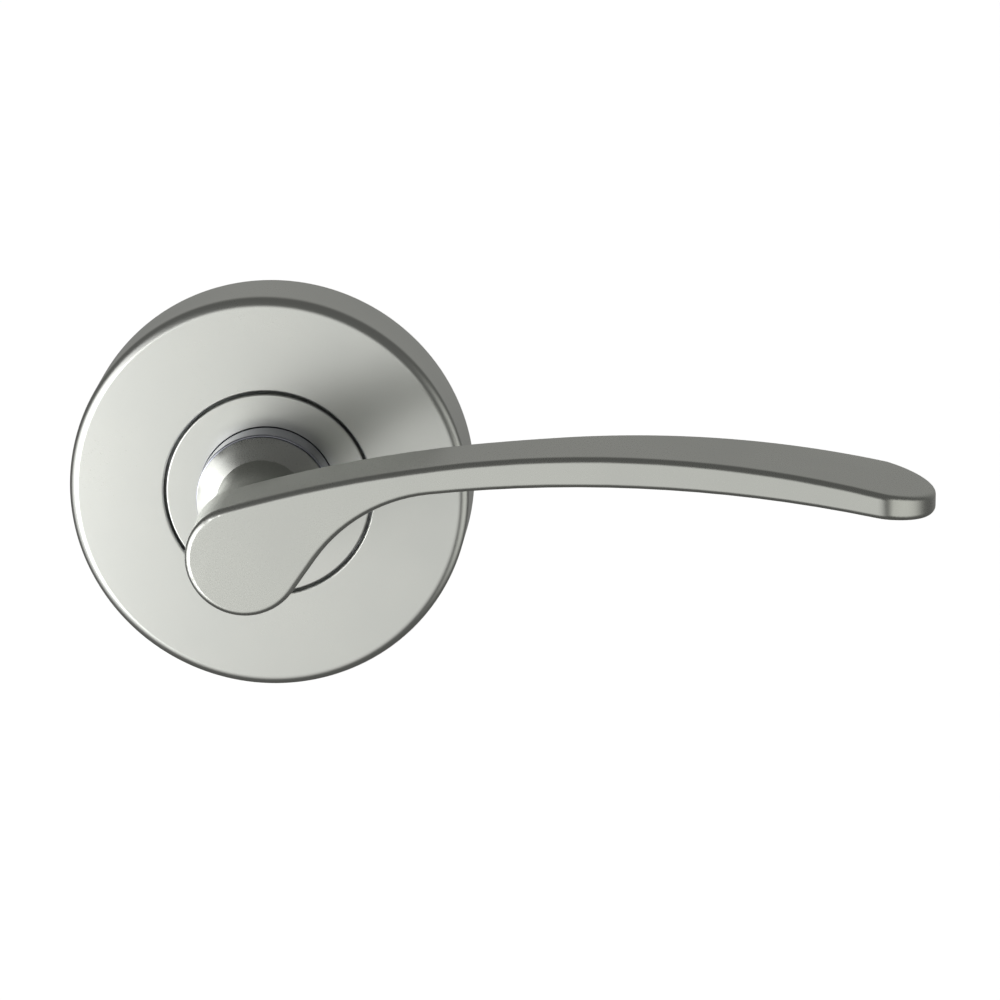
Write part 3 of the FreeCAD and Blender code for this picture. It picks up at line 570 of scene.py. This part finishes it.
# rose cover
roseCover = {
    "radius": 32.5 * mm, "back": 0.0, "front": 12.7 * mm, "hole": 17.0 * mm, "lip": 2.7 * mm,
    "edgeRound": 1.7 * mm, "lipRound": 0.35 * mm, "roundSteps": 8, "wall": 1.2 * mm, "sides": 256,
    "finish": "satinChrome",
}
settle(addCup(roseCover), "roseCover", roseCover["finish"], "rose",
       "rose_cover")

# centre disc
centreDisc = {
    "radius": 16.6 * mm, "back": 10.0 * mm, "front": 12.7 * mm, "hole": 11.2 * mm, "lip": 1.2 * mm,
    "edgeRound": 0.3 * mm, "lipRound": 0.1 * mm, "roundSteps": 5, "wall": 1.0 * mm, "sides": 192,
    "finish": "satinChrome",
}
settle(addCup(centreDisc), "centreDisc", centreDisc["finish"], "rose",
       "centre_disc")

# bearing sleeve
bearingSleeve = {
    "radius": 11.14 * mm, "bore": 9.3 * mm, "back": 9.5 * mm, "front": 17.7 * mm,
    "edgeRound": 0.25 * mm, "roundSteps": 5, "sides": 192, "finish": "polishedSleeve",
}
settle(addCollar(bearingSleeve), "bearingSleeve", bearingSleeve["finish"], "rose",
       "bearing_sleeve")

# nose washer
noseWasher = {
    "radius": 10.64 * mm, "bore": 8.05 * mm, "back": 17.7 * mm, "front": 18.15 * mm,
    "edgeRound": 0.08 * mm, "roundSteps": 3, "sides": 160, "finish": "darkNylon",
}
settle(addCollar(noseWasher), "noseWasher", noseWasher["finish"], "rose", "nose_washer")


# lever
leverHandle = {"mergeGap": 1e-7, "finish": "satinChromeLever"}


def mergedCopy(node, gap):
    # the node's own loose triangles, joined, in an object of their own
    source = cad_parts[node]
    piece = source.copy()
    piece.data = source.data.copy()
    piece.parent = None
    for key in list(piece.keys()):
        del piece[key]
    bpy.context.collection.objects.link(piece)
    selectOnly(piece)
    bpy.ops.object.mode_set(mode="EDIT")
    bpy.ops.mesh.select_all(action="SELECT")
    bpy.ops.mesh.remove_doubles(threshold=gap)
    bpy.ops.object.mode_set(mode="OBJECT")
    return piece


settle(mergedCopy("lever", leverHandle["mergeGap"]), "leverHandle", leverHandle["finish"],
       "lever", "lever")


# every CAD node has its finish, also those that a new piece stands for
nodeFinishes = {
    "bearing_bush": "darkNylon",
    "thrust_washer": "washerSteel",
    "cover_snap_ring": "springSteel",
    "sub_rose": "castZinc",
    "fixing_posts": "zincPlate",
    "back_plate": "zincPlate",
    "back_plate_screws": "plateScrew",
    "return_spring": "springSteel",
    "spindle": "spindleSteel",
    "grub_screw": "blackSteel",
    "spring_cam": "washerSteel",
    "retaining_washer": "washerSteel",
    "circlip": "blackSteel",
    "rose_cover": "satinChrome",
    "centre_disc": "satinChrome",
    "bearing_sleeve": "polishedSleeve",
    "nose_washer": "darkNylon",
    "lever": "satinChromeLever",
}


def dressNode(node, finish):
    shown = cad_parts[node]
    for slot in shown.material_slots:
        slot.material = materials[finish]


for node, finish in nodeFinishes.items():
    dressNode(node, finish)
print("dressed", len(nodeFinishes), "nodes")
